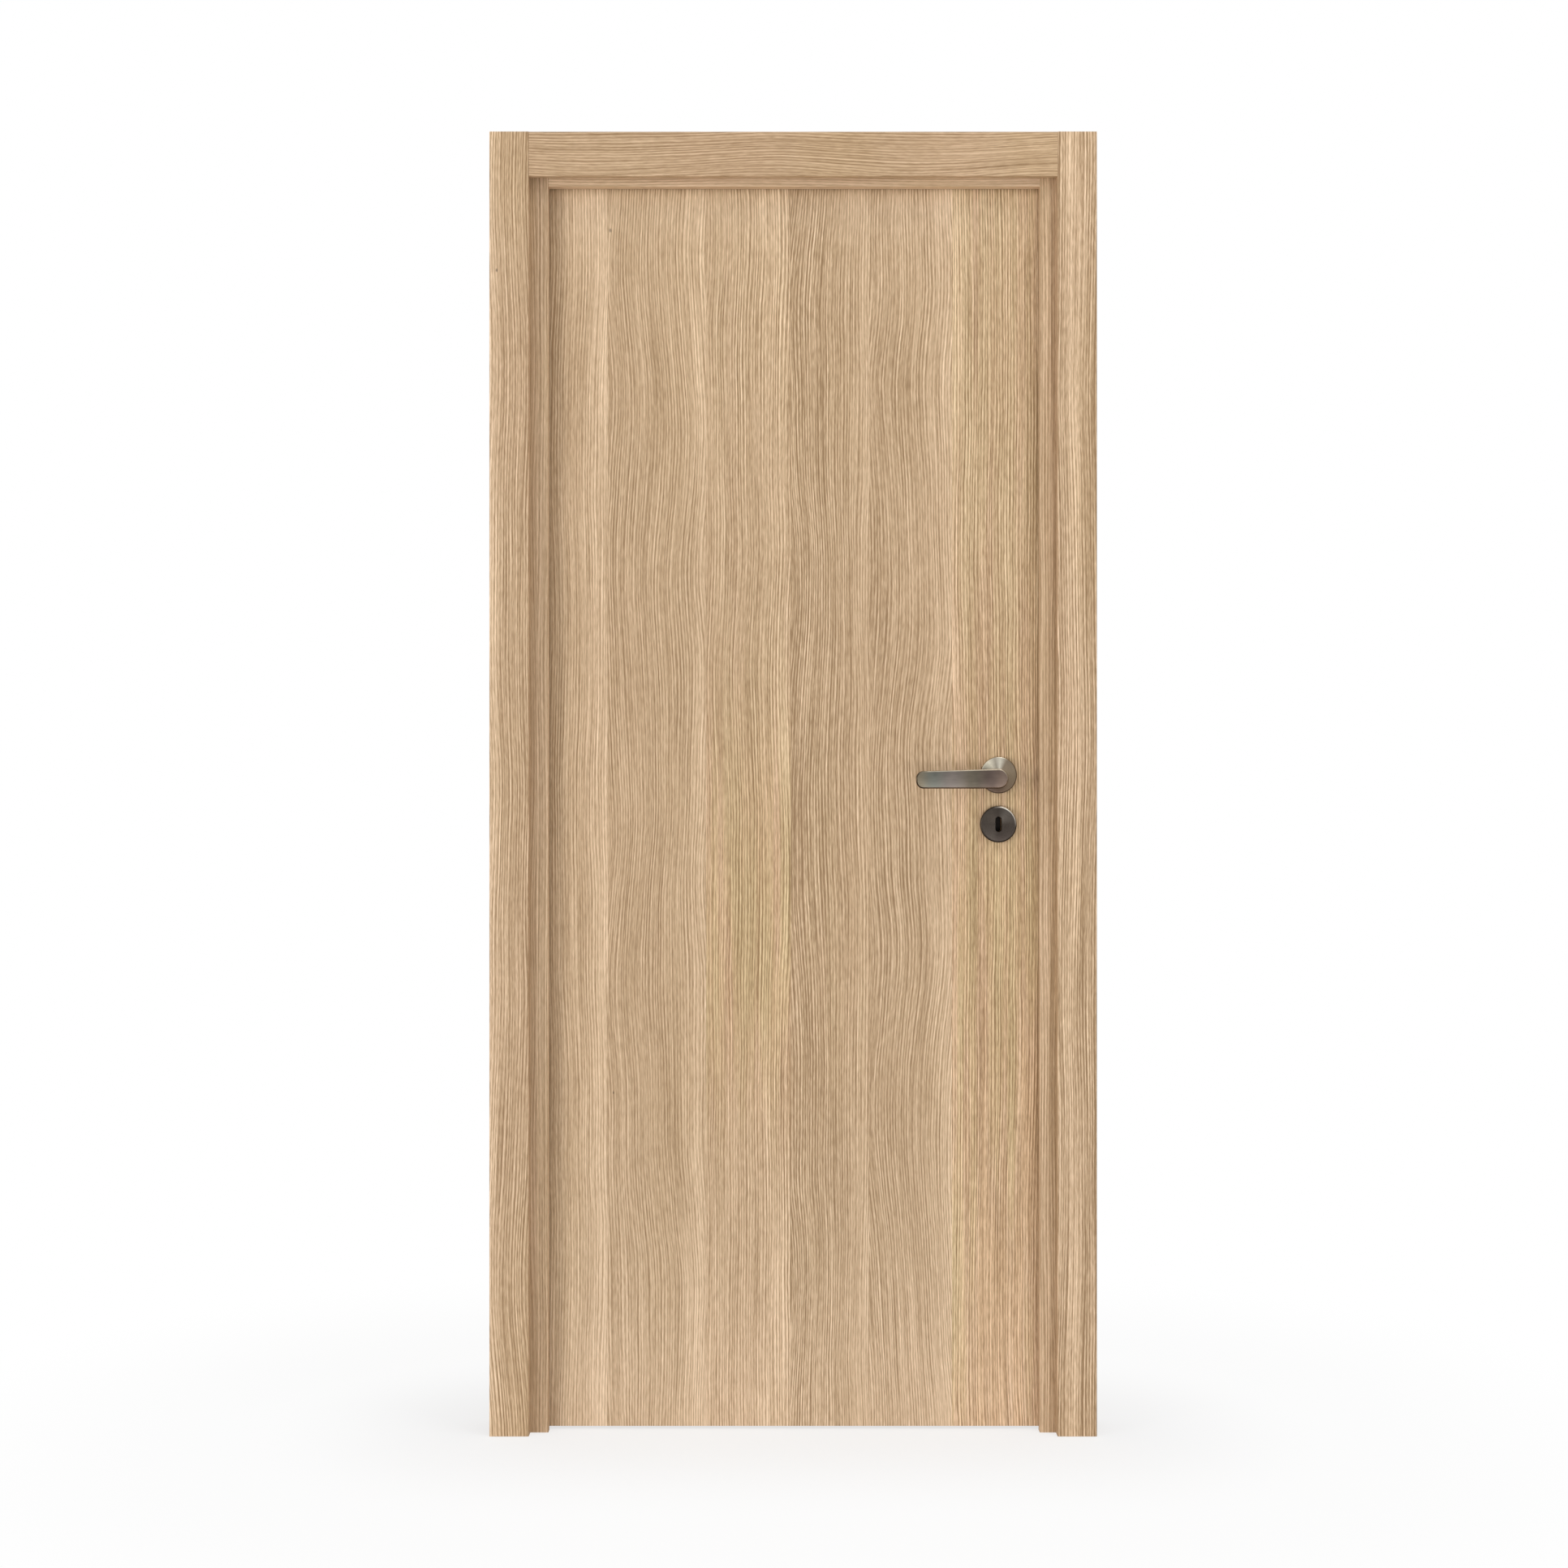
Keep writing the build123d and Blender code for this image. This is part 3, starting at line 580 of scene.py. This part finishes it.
finish_of = {
    "leaf_front_skin": front_oak, "leaf_back_skin": back_oak,
    "leaf_hinge_edge_band": edge_oak, "leaf_lock_edge_band": edge_oak,
    "front_casing_left": casing_left_oak, "back_casing_left": casing_left_oak,
    "front_casing_right": casing_right_oak, "back_casing_right": casing_right_oak,
    "front_casing_head": casing_head_oak, "back_casing_head": casing_head_oak,
    "hinge_jamb": jamb_left_painted_shade_oak, "hinge_stop": stop_left_oak,
    "lock_jamb": jamb_right_painted_shade_oak, "lock_stop": stop_right_oak,
    "head_jamb": jamb_head_oak, "head_stop": stop_head_oak,
    "lever_front": satin_lever, "lever_back": satin_lever,
    "lever_rose_front": turned_rose, "lever_rose_back": turned_rose,
    "key_rose_front": turned_key_rose, "key_rose_back": turned_key_rose,
    "lock_case": black_case,
}
for name in ("core", "top_rail", "bottom_rail", "hinge_stile", "lock_stile", "lock_block"):
    finish_of["leaf_" + name] = timber
for name in ("hinge_seal", "lock_seal", "head_seal"):
    finish_of[name] = rubber
for name in ("lever_spindle", "strike_plate", "lock_faceplate", "latch_bolt", "dead_bolt"):
    finish_of[name] = brushed_lock
for end in ENDS:
    for kind in ("hinge_frame_plate_", "hinge_leaf_plate_", "hinge_pin_"):
        finish_of[kind + end] = satin_hinge
for name, node in nodes.items():
    node.data.materials.clear()
    node.data.materials.append(finish_of[name])


# Mesh helpers

def add_object(name, mesh, mat, body):
    mesh.materials.append(mat)
    obj = bpy.data.objects.new(name, mesh)
    bpy.context.scene.collection.objects.link(obj)
    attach(obj, body)
    return obj


def arc(centre_u, centre_v, radius, start, turn, steps):
    """Points of an arc from a start angle through a turn, both in degrees."""
    points = []
    for k in range(steps + 1):
        angle = math.radians(start + turn * k / steps)
        points.append((centre_u + radius * math.cos(angle), centre_v + radius * math.sin(angle)))
    return points


def circle(centre_u, centre_v, radius, steps):
    return arc(centre_u, centre_v, radius, 0, 360, steps)[:-1]


def bridge(bm, a, b, material=0):
    """Faces between two closed rings of as many points."""
    count = len(a)
    for k in range(count):
        m = (k + 1) % count
        bm.faces.new((a[k], a[m], b[m], b[k])).material_index = material


def fill_between(bm, outer, inner):
    """A flat face between two closed rings, one inside the other."""
    edges = []
    for ring in (outer, inner):
        for pair in zip(ring, ring[1:] + ring[:1]):
            edges.append(bm.edges.get(pair) or bm.edges.new(pair))
    bmesh.ops.triangle_fill(bm, use_beauty=True, use_dissolve=False, edges=edges)


def mesh_from(bm, name):
    bmesh.ops.recalc_face_normals(bm, faces=bm.faces)
    mesh = bpy.data.meshes.new(name)
    bm.to_mesh(mesh)
    bm.free()
    return mesh


def smoothed(mesh, sharp_degrees=32):
    for polygon in mesh.polygons:
        polygon.use_smooth = True
    mesh.set_sharp_from_angle(angle=math.radians(sharp_degrees))
    return mesh


# Screws

SCREW_RADIUS = 0.0036
# The rest of a screw's head is in shares of its radius: the profile's (radius, height) and the cross recess.
HEAD_PROFILE = ((0.86, 0.05), (0.97, 0.02), (1.0, -0.04), (0.9, -0.25))
CROSS_ARM, CROSS_HALF_WIDTH, CROSS_DEPTH, CROSS_FOOT = 0.62, 0.17, -0.30, 0.55
HEAD_STEPS = 32
# The first cross is turned by this angle, and each next one by a step more.
FIRST_TURN, TURN_STEP = 0.4, 0.6


def screw_mesh(name, places, outward):
    """Countersunk heads with a cross recess, flush in a plate, at each place with its head facing outward."""
    bm = bmesh.new()
    out = Vector(outward).normalized()
    side = out.orthogonal().normalized()
    up = out.cross(side)
    arm, half = CROSS_ARM, CROSS_HALF_WIDTH
    cross = [(arm, -half), (arm, half), (half, half), (half, arm), (-half, arm), (-half, half), (-arm, half),
             (-arm, -half), (-half, -half), (-half, -arm), (half, -arm), (half, -half)]
    for n, place in enumerate(places):
        turn = FIRST_TURN + TURN_STEP * n
        base = Vector(place)

        def ring_at(points, height):
            ring = []
            for u, v in points:
                sideways = u * math.cos(turn) - v * math.sin(turn)
                upward = u * math.sin(turn) + v * math.cos(turn)
                off = sideways * side + upward * up + height * out
                ring.append(bm.verts.new(base + SCREW_RADIUS * off))
            return ring

        cross_rim = ring_at(cross, HEAD_PROFILE[0][1])
        cross_floor = ring_at([(u * CROSS_FOOT, v * CROSS_FOOT) for u, v in cross], CROSS_DEPTH)
        bridge(bm, cross_rim, cross_floor)
        bm.faces.new(cross_floor)
        rims = [ring_at(circle(0, 0, radius, HEAD_STEPS), height) for radius, height in HEAD_PROFILE]
        for a, b in zip(rims, rims[1:]):
            bridge(bm, a, b)
        fill_between(bm, rims[0], cross_rim)
    return mesh_from(bm, name)


# A hinge plate's screws, as (height over its foot, y), and how far the lock's screws are from its middle.
HINGE_SCREWS = ((0.012, 0.0275), (0.037, 0.0165), (0.063, 0.0275), (0.088, 0.0165))
STRIKE_REACH, FACEPLATE_REACH = 0.092, 0.1085
# The leaf's lock edge leans by this much over its thickness, so that it clears the jamb as it opens.
LOCK_EDGE_LEAN = 0.002


def hinge_places(face_x):
    feet = [lowest("hinge_frame_plate_" + end, Z) for end in ENDS]
    return [(face_x, y, foot + rise) for foot in feet for rise, y in HINGE_SCREWS]


def lock_places(face_x, reach):
    return [(face_x, LEAF_MIDDLE, middle("strike_plate", Z) + way) for way in (-reach, reach)]


Screws = namedtuple("Screws", "name places outward body slot")
for screws in (
    Screws("hinge_screws_frame", hinge_places(highest("hinge_jamb", X)), (1, 0, 0), "frame", "hinge_metal"),
    Screws("hinge_screws_leaf", hinge_places(LEAF_LEFT), (-1, 0, 0), "leaf", "hinge_metal"),
    Screws("strike_screws", lock_places(lowest("lock_jamb", X), STRIKE_REACH), (-1, 0, 0), "frame",
           "lock_steel"),
    Screws("faceplate_screws", lock_places(LEAF_RIGHT - LOCK_EDGE_LEAN / 2, FACEPLATE_REACH),
           (LEAF_BACK - LEAF_FRONT, -LOCK_EDGE_LEAN, 0), "leaf", "lock_steel"),
):
    mesh = screw_mesh(screws.name, screws.places, screws.outward)
    add_object(screws.name, mesh, screw_steel, screws.body)


# Handles, finer than the CAD solids that they stand for

ROSE_STEPS, NECK_STEPS = 128, 96
# The roses: their rims' rounding, the lever rose's bore with its broken edge, and the step at the rim's foot.
LEVER_ROSE_SOFT, KEY_ROSE_SOFT, SOFT_STEPS = 0.0024, 0.0030, 8
BORE, BORE_EDGE, BORE_MOUTH = 0.00755, 0.0003, 0.0079
FOOT_STEP = 0.0003
KEYHOLE_HALF_WIDTH, KEYHOLE_HALF_HEIGHT, KEYHOLE_EDGE, KEYHOLE_STEPS = 0.005, 0.0125, 0.0004, 12
# The lever: a flat blade with a half-round butt beside and below the spindle, a soft tip, and a turned neck.
BLADE_THICK, BLADE_SOFT, BLADE_SOFT_STEPS = 0.008, 0.0022, 5
BUTT_BESIDE = 0.005
BUTT_X, BUTT_Z, BUTT_RADIUS = SPINDLE_X - BUTT_BESIDE, middle("lever_front", Z), half_size("lever_front", Z)
TIP_HEIGHT, TIP_ROUND = 0.0285, 0.012
BUTT_STEPS, TIP_STEPS = 32, 16
# The neck widens into the blade's rear: (how much wider, how far from the rear).
NECK_RADIUS = 0.0075
NECK_FLARE = ((0.0005, -0.0002), (0.0002, 0.0002), (0.0, 0.0008))


def mirrored(y, back):
    """The back set is the front one, mirrored about the middle of the leaf."""
    return 2 * LEAF_MIDDLE - y if back else y


def turned_rings(bm, centre_z, profile, back, steps, rim=0):
    """Rings of a turned form about an axis along Y at the spindle's x. profile lists (radius, y) of the front
    set, and the first rim bands take the piece's second material."""
    rings = []
    for radius, y in profile:
        points = circle(SPINDLE_X, centre_z, radius, steps)
        rings.append([bm.verts.new((x, mirrored(y, back), z)) for x, z in points])
    for band, (a, b) in enumerate(zip(rings, rings[1:])):
        bridge(bm, a, b, 1 if band < rim else 0)
    return rings


def rose_rim(node, soft):
    """A rose's profile as (radius, y), from the flat face over the rounded rim to the step at its foot."""
    radius, face = half_size(node, X), lowest(node, Y)
    rim = arc(radius - soft, face + soft, soft, -90, 90, SOFT_STEPS)
    foot = [(radius, LEAF_FRONT - 2 * FOOT_STEP), (radius - FOOT_STEP, LEAF_FRONT - FOOT_STEP)]
    return rim + foot + [(radius - FOOT_STEP, LEAF_FRONT)]


def lever_rose_mesh(name, back):
    """A plain round rose with a soft rim, bored for the lever's neck."""
    face = lowest("lever_rose_front", Y)
    bore = [(BORE, LEAF_FRONT), (BORE, face + BORE_EDGE), (BORE_MOUTH, face)]
    bm = bmesh.new()
    profile = bore + rose_rim("lever_rose_front", LEVER_ROSE_SOFT)
    rings = turned_rings(bm, SPINDLE_Z, profile, back, ROSE_STEPS)
    bridge(bm, rings[0], rings[-1])
    return smoothed(mesh_from(bm, name))


def keyhole_ring(bm, y, grow):
    """The keyhole's outline, with half-round ends."""
    half_width, half_height = KEYHOLE_HALF_WIDTH + grow, KEYHOLE_HALF_HEIGHT + grow
    rise = half_height - half_width
    points = arc(SPINDLE_X, KEY_Z + rise, half_width, 0, 180, KEYHOLE_STEPS)
    points += arc(SPINDLE_X, KEY_Z - rise, half_width, 180, 180, KEYHOLE_STEPS)
    return [bm.verts.new((x, y, z)) for x, z in points]


def key_rose_mesh(name, back):
    """A round rose with a well rounded rim and an upright keyhole with a broken edge."""
    face = lowest("key_rose_front", Y)
    bm = bmesh.new()
    profile = rose_rim("key_rose_front", KEY_ROSE_SOFT)
    rings = turned_rings(bm, KEY_Z, profile, back, ROSE_STEPS, rim=SOFT_STEPS)
    holes = [keyhole_ring(bm, mirrored(y, back), grow)
             for y, grow in ((face, KEYHOLE_EDGE), (face + KEYHOLE_EDGE, 0.0), (LEAF_FRONT, 0.0))]
    for a, b in zip(holes, holes[1:]):
        bridge(bm, a, b)
    fill_between(bm, rings[0], holes[0])
    fill_between(bm, rings[-1], holes[-1])
    return smoothed(mesh_from(bm, name))


def blade_points(inset):
    """The blade's outline from the front, drawn in by an inset: half-round butt, slight taper, soft tip."""
    top = BUTT_Z - BUTT_RADIUS + TIP_HEIGHT - inset
    low = BUTT_Z - BUTT_RADIUS + inset
    radius = TIP_ROUND - inset
    tip_x = BLADE_LEFT + inset + radius
    butt = arc(BUTT_X, BUTT_Z, BUTT_RADIUS - inset, -90, 180, BUTT_STEPS)
    tip_top = arc(tip_x, top - radius, radius, 90, 90, TIP_STEPS)
    return butt + tip_top + arc(tip_x, low + radius, radius, 180, 90, TIP_STEPS)


def lever_mesh(name, back):
    """The flat lever with rounded edges on its turned neck. The edges take the piece's second material."""
    face = lowest("lever_front", Y)
    rear = face + BLADE_THICK
    levels = arc(BLADE_SOFT, face + BLADE_SOFT, BLADE_SOFT, -90, -90, BLADE_SOFT_STEPS)
    levels += arc(BLADE_SOFT, rear - BLADE_SOFT, BLADE_SOFT, 180, -90, BLADE_SOFT_STEPS)
    bm = bmesh.new()
    rings = [[bm.verts.new((x, mirrored(y, back), z)) for x, z in blade_points(inset)] for inset, y in levels]
    for a, b in zip(rings, rings[1:]):
        bridge(bm, a, b, 1)
    bm.faces.new(rings[0])
    bm.faces.new(rings[-1])
    neck = [(NECK_RADIUS + wider, rear + off) for wider, off in NECK_FLARE]
    neck.append((NECK_RADIUS, highest("lever_front", Y)))
    neck_rings = turned_rings(bm, SPINDLE_Z, neck, back, NECK_STEPS)
    bm.faces.new(neck_rings[0])
    bm.faces.new(neck_rings[-1])
    return smoothed(mesh_from(bm, name))


for end, back in (("front", False), ("back", True)):
    name = "lever_rose_piece_" + end
    rose = add_object(name, lever_rose_mesh(name, back), turned_rose, "leaf")
    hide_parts("lever_rose_" + end)
    name = "key_rose_piece_" + end
    key_rose = add_object(name, key_rose_mesh(name, back), turned_key_rose, "leaf")
    key_rose.data.materials.append(key_rose_rim)
    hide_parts("key_rose_" + end)
    name = "lever_piece_" + end
    lever = add_object(name, lever_mesh(name, back), satin_lever, "lever")
    lever.data.materials.append(painted_lever_edge)
    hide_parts("lever_" + end)


# Floor and world

FLOOR_REACH = 30.0
FLOOR_GREY = (0.93, 0.93, 0.93, 1.0)
# How much of the floor's own light and shadow shows, by the distance from the object's foot.
FLOOR_OWN_LOOK = ((0.05, 0.30), (0.4375, 0.09), (1.125, 0.0))
FOOT_HALF_WIDTH = 0.45
WORLD_STRENGTH = 0.62


def seen_share(tree):
    """One where the camera sees a surface, straight or in metal or through glass, and otherwise nothing."""
    path = tree.nodes.new("ShaderNodeLightPath")
    share = path.outputs["Is Camera Ray"]
    for ray in ("Is Glossy Ray", "Is Transmission Ray"):
        either = tree.nodes.new("ShaderNodeMath")
        either.operation = "MAXIMUM"
        tree.links.new(share, either.inputs[0])
        tree.links.new(path.outputs[ray], either.inputs[1])
        share = either.outputs[0]
    return share


def studio_floor(name):
    """White to the camera far from the object; near it the floor's own light and shadow show."""
    g = Graph(name)
    g.set(Specular_IOR_Level=0.0, Base_Color=FLOOR_GREY)
    x, y, z = g.place()
    beside = g.math("MAXIMUM", g.math("ABSOLUTE", g.plus(x, -MIDDLE_X)), FOOT_HALF_WIDTH)
    away = g.distance(g.plus(beside, -FOOT_HALF_WIDTH), y)
    own = g.spread(away, FLOOR_OWN_LOOK, "EASE")
    white = g.tree.nodes.new("ShaderNodeEmission")
    both = g.tree.nodes.new("ShaderNodeMixShader")
    g.put(g.times(seen_share(g.tree), g.math("SUBTRACT", 1.0, own)), both.inputs[0])
    g.put(g.shader.outputs[0], both.inputs[1])
    g.put(white.outputs[0], both.inputs[2])
    g.put(both.outputs[0], g.out.inputs["Surface"])
    return g.mat


def studio_world(name):
    """White where the camera sees it, and a plain soft light on everything else."""
    world = bpy.data.worlds.new(name)
    world.use_nodes = True
    tree = world.node_tree
    tree.nodes.clear()
    out = tree.nodes.new("ShaderNodeOutputWorld")
    both = tree.nodes.new("ShaderNodeMixShader")
    tree.links.new(seen_share(tree), both.inputs[0])
    for socket, strength in ((1, WORLD_STRENGTH), (2, 1.0)):
        light = tree.nodes.new("ShaderNodeBackground")
        light.inputs["Color"].default_value = (1, 1, 1, 1)
        light.inputs["Strength"].default_value = strength
        tree.links.new(light.outputs[0], both.inputs[socket])
    tree.links.new(both.outputs[0], out.inputs["Surface"])
    return world


floor_mesh = bpy.data.meshes.new("studio_floor")
corners = [(-FLOOR_REACH, -FLOOR_REACH, 0), (FLOOR_REACH, -FLOOR_REACH, 0), (FLOOR_REACH, FLOOR_REACH, 0),
           (-FLOOR_REACH, FLOOR_REACH, 0)]
floor_mesh.from_pydata(corners, [], [(0, 1, 2, 3)])
floor_mesh.materials.append(studio_floor("studio_floor"))
floor = bpy.data.objects.new("studio_floor", floor_mesh)
bpy.context.scene.collection.objects.link(floor)
bpy.context.scene.world = studio_world("studio")


# Lamps and camera

def area_light(name, place, target, size, watts):
    data = bpy.data.lights.new(name, "AREA")
    data.shape = "RECTANGLE"
    data.size, data.size_y = size
    data.energy = watts
    obj = bpy.data.objects.new(name, data)
    bpy.context.scene.collection.objects.link(obj)
    obj.location = place
    obj.rotation_mode = "QUATERNION"
    obj.rotation_quaternion = (Vector(target) - Vector(place)).to_track_quat("-Z", "Y")


area_light("key", place=(-5.6, -4.4, 0.9), target=(0.3, 0, 1.0), size=(1.8, 2.6), watts=190.0)
area_light("low_fill", place=(0.95, -3.3, 0.13), target=(0.55, 0, 0.5), size=(3.0, 0.8), watts=27.0)
area_light("top_rim", place=(1.7, -1.0, 4.0), target=(0.7, -0.1, 1.0), size=(1.3, 1.1), watts=24.0)

# The camera looks straight at the door at half its height, a little to the left of its middle.
CAMERA_LENS, CAMERA_AWAY, CAMERA_LEFT = 48.12, 3.4, 0.0149
camera_data = bpy.data.cameras.new("camera")
camera_data.lens = CAMERA_LENS
camera_data.clip_start, camera_data.clip_end = 0.05, 200.0
camera = bpy.data.objects.new("camera", camera_data)
bpy.context.scene.collection.objects.link(camera)
camera.location = (MIDDLE_X - CAMERA_LEFT, lowest("front_casing_left", Y) - CAMERA_AWAY, MIDDLE_Z)
camera.rotation_euler = (math.pi / 2, 0, 0)
bpy.context.scene.camera = camera
bpy.context.scene.view_settings.view_transform = "Standard"
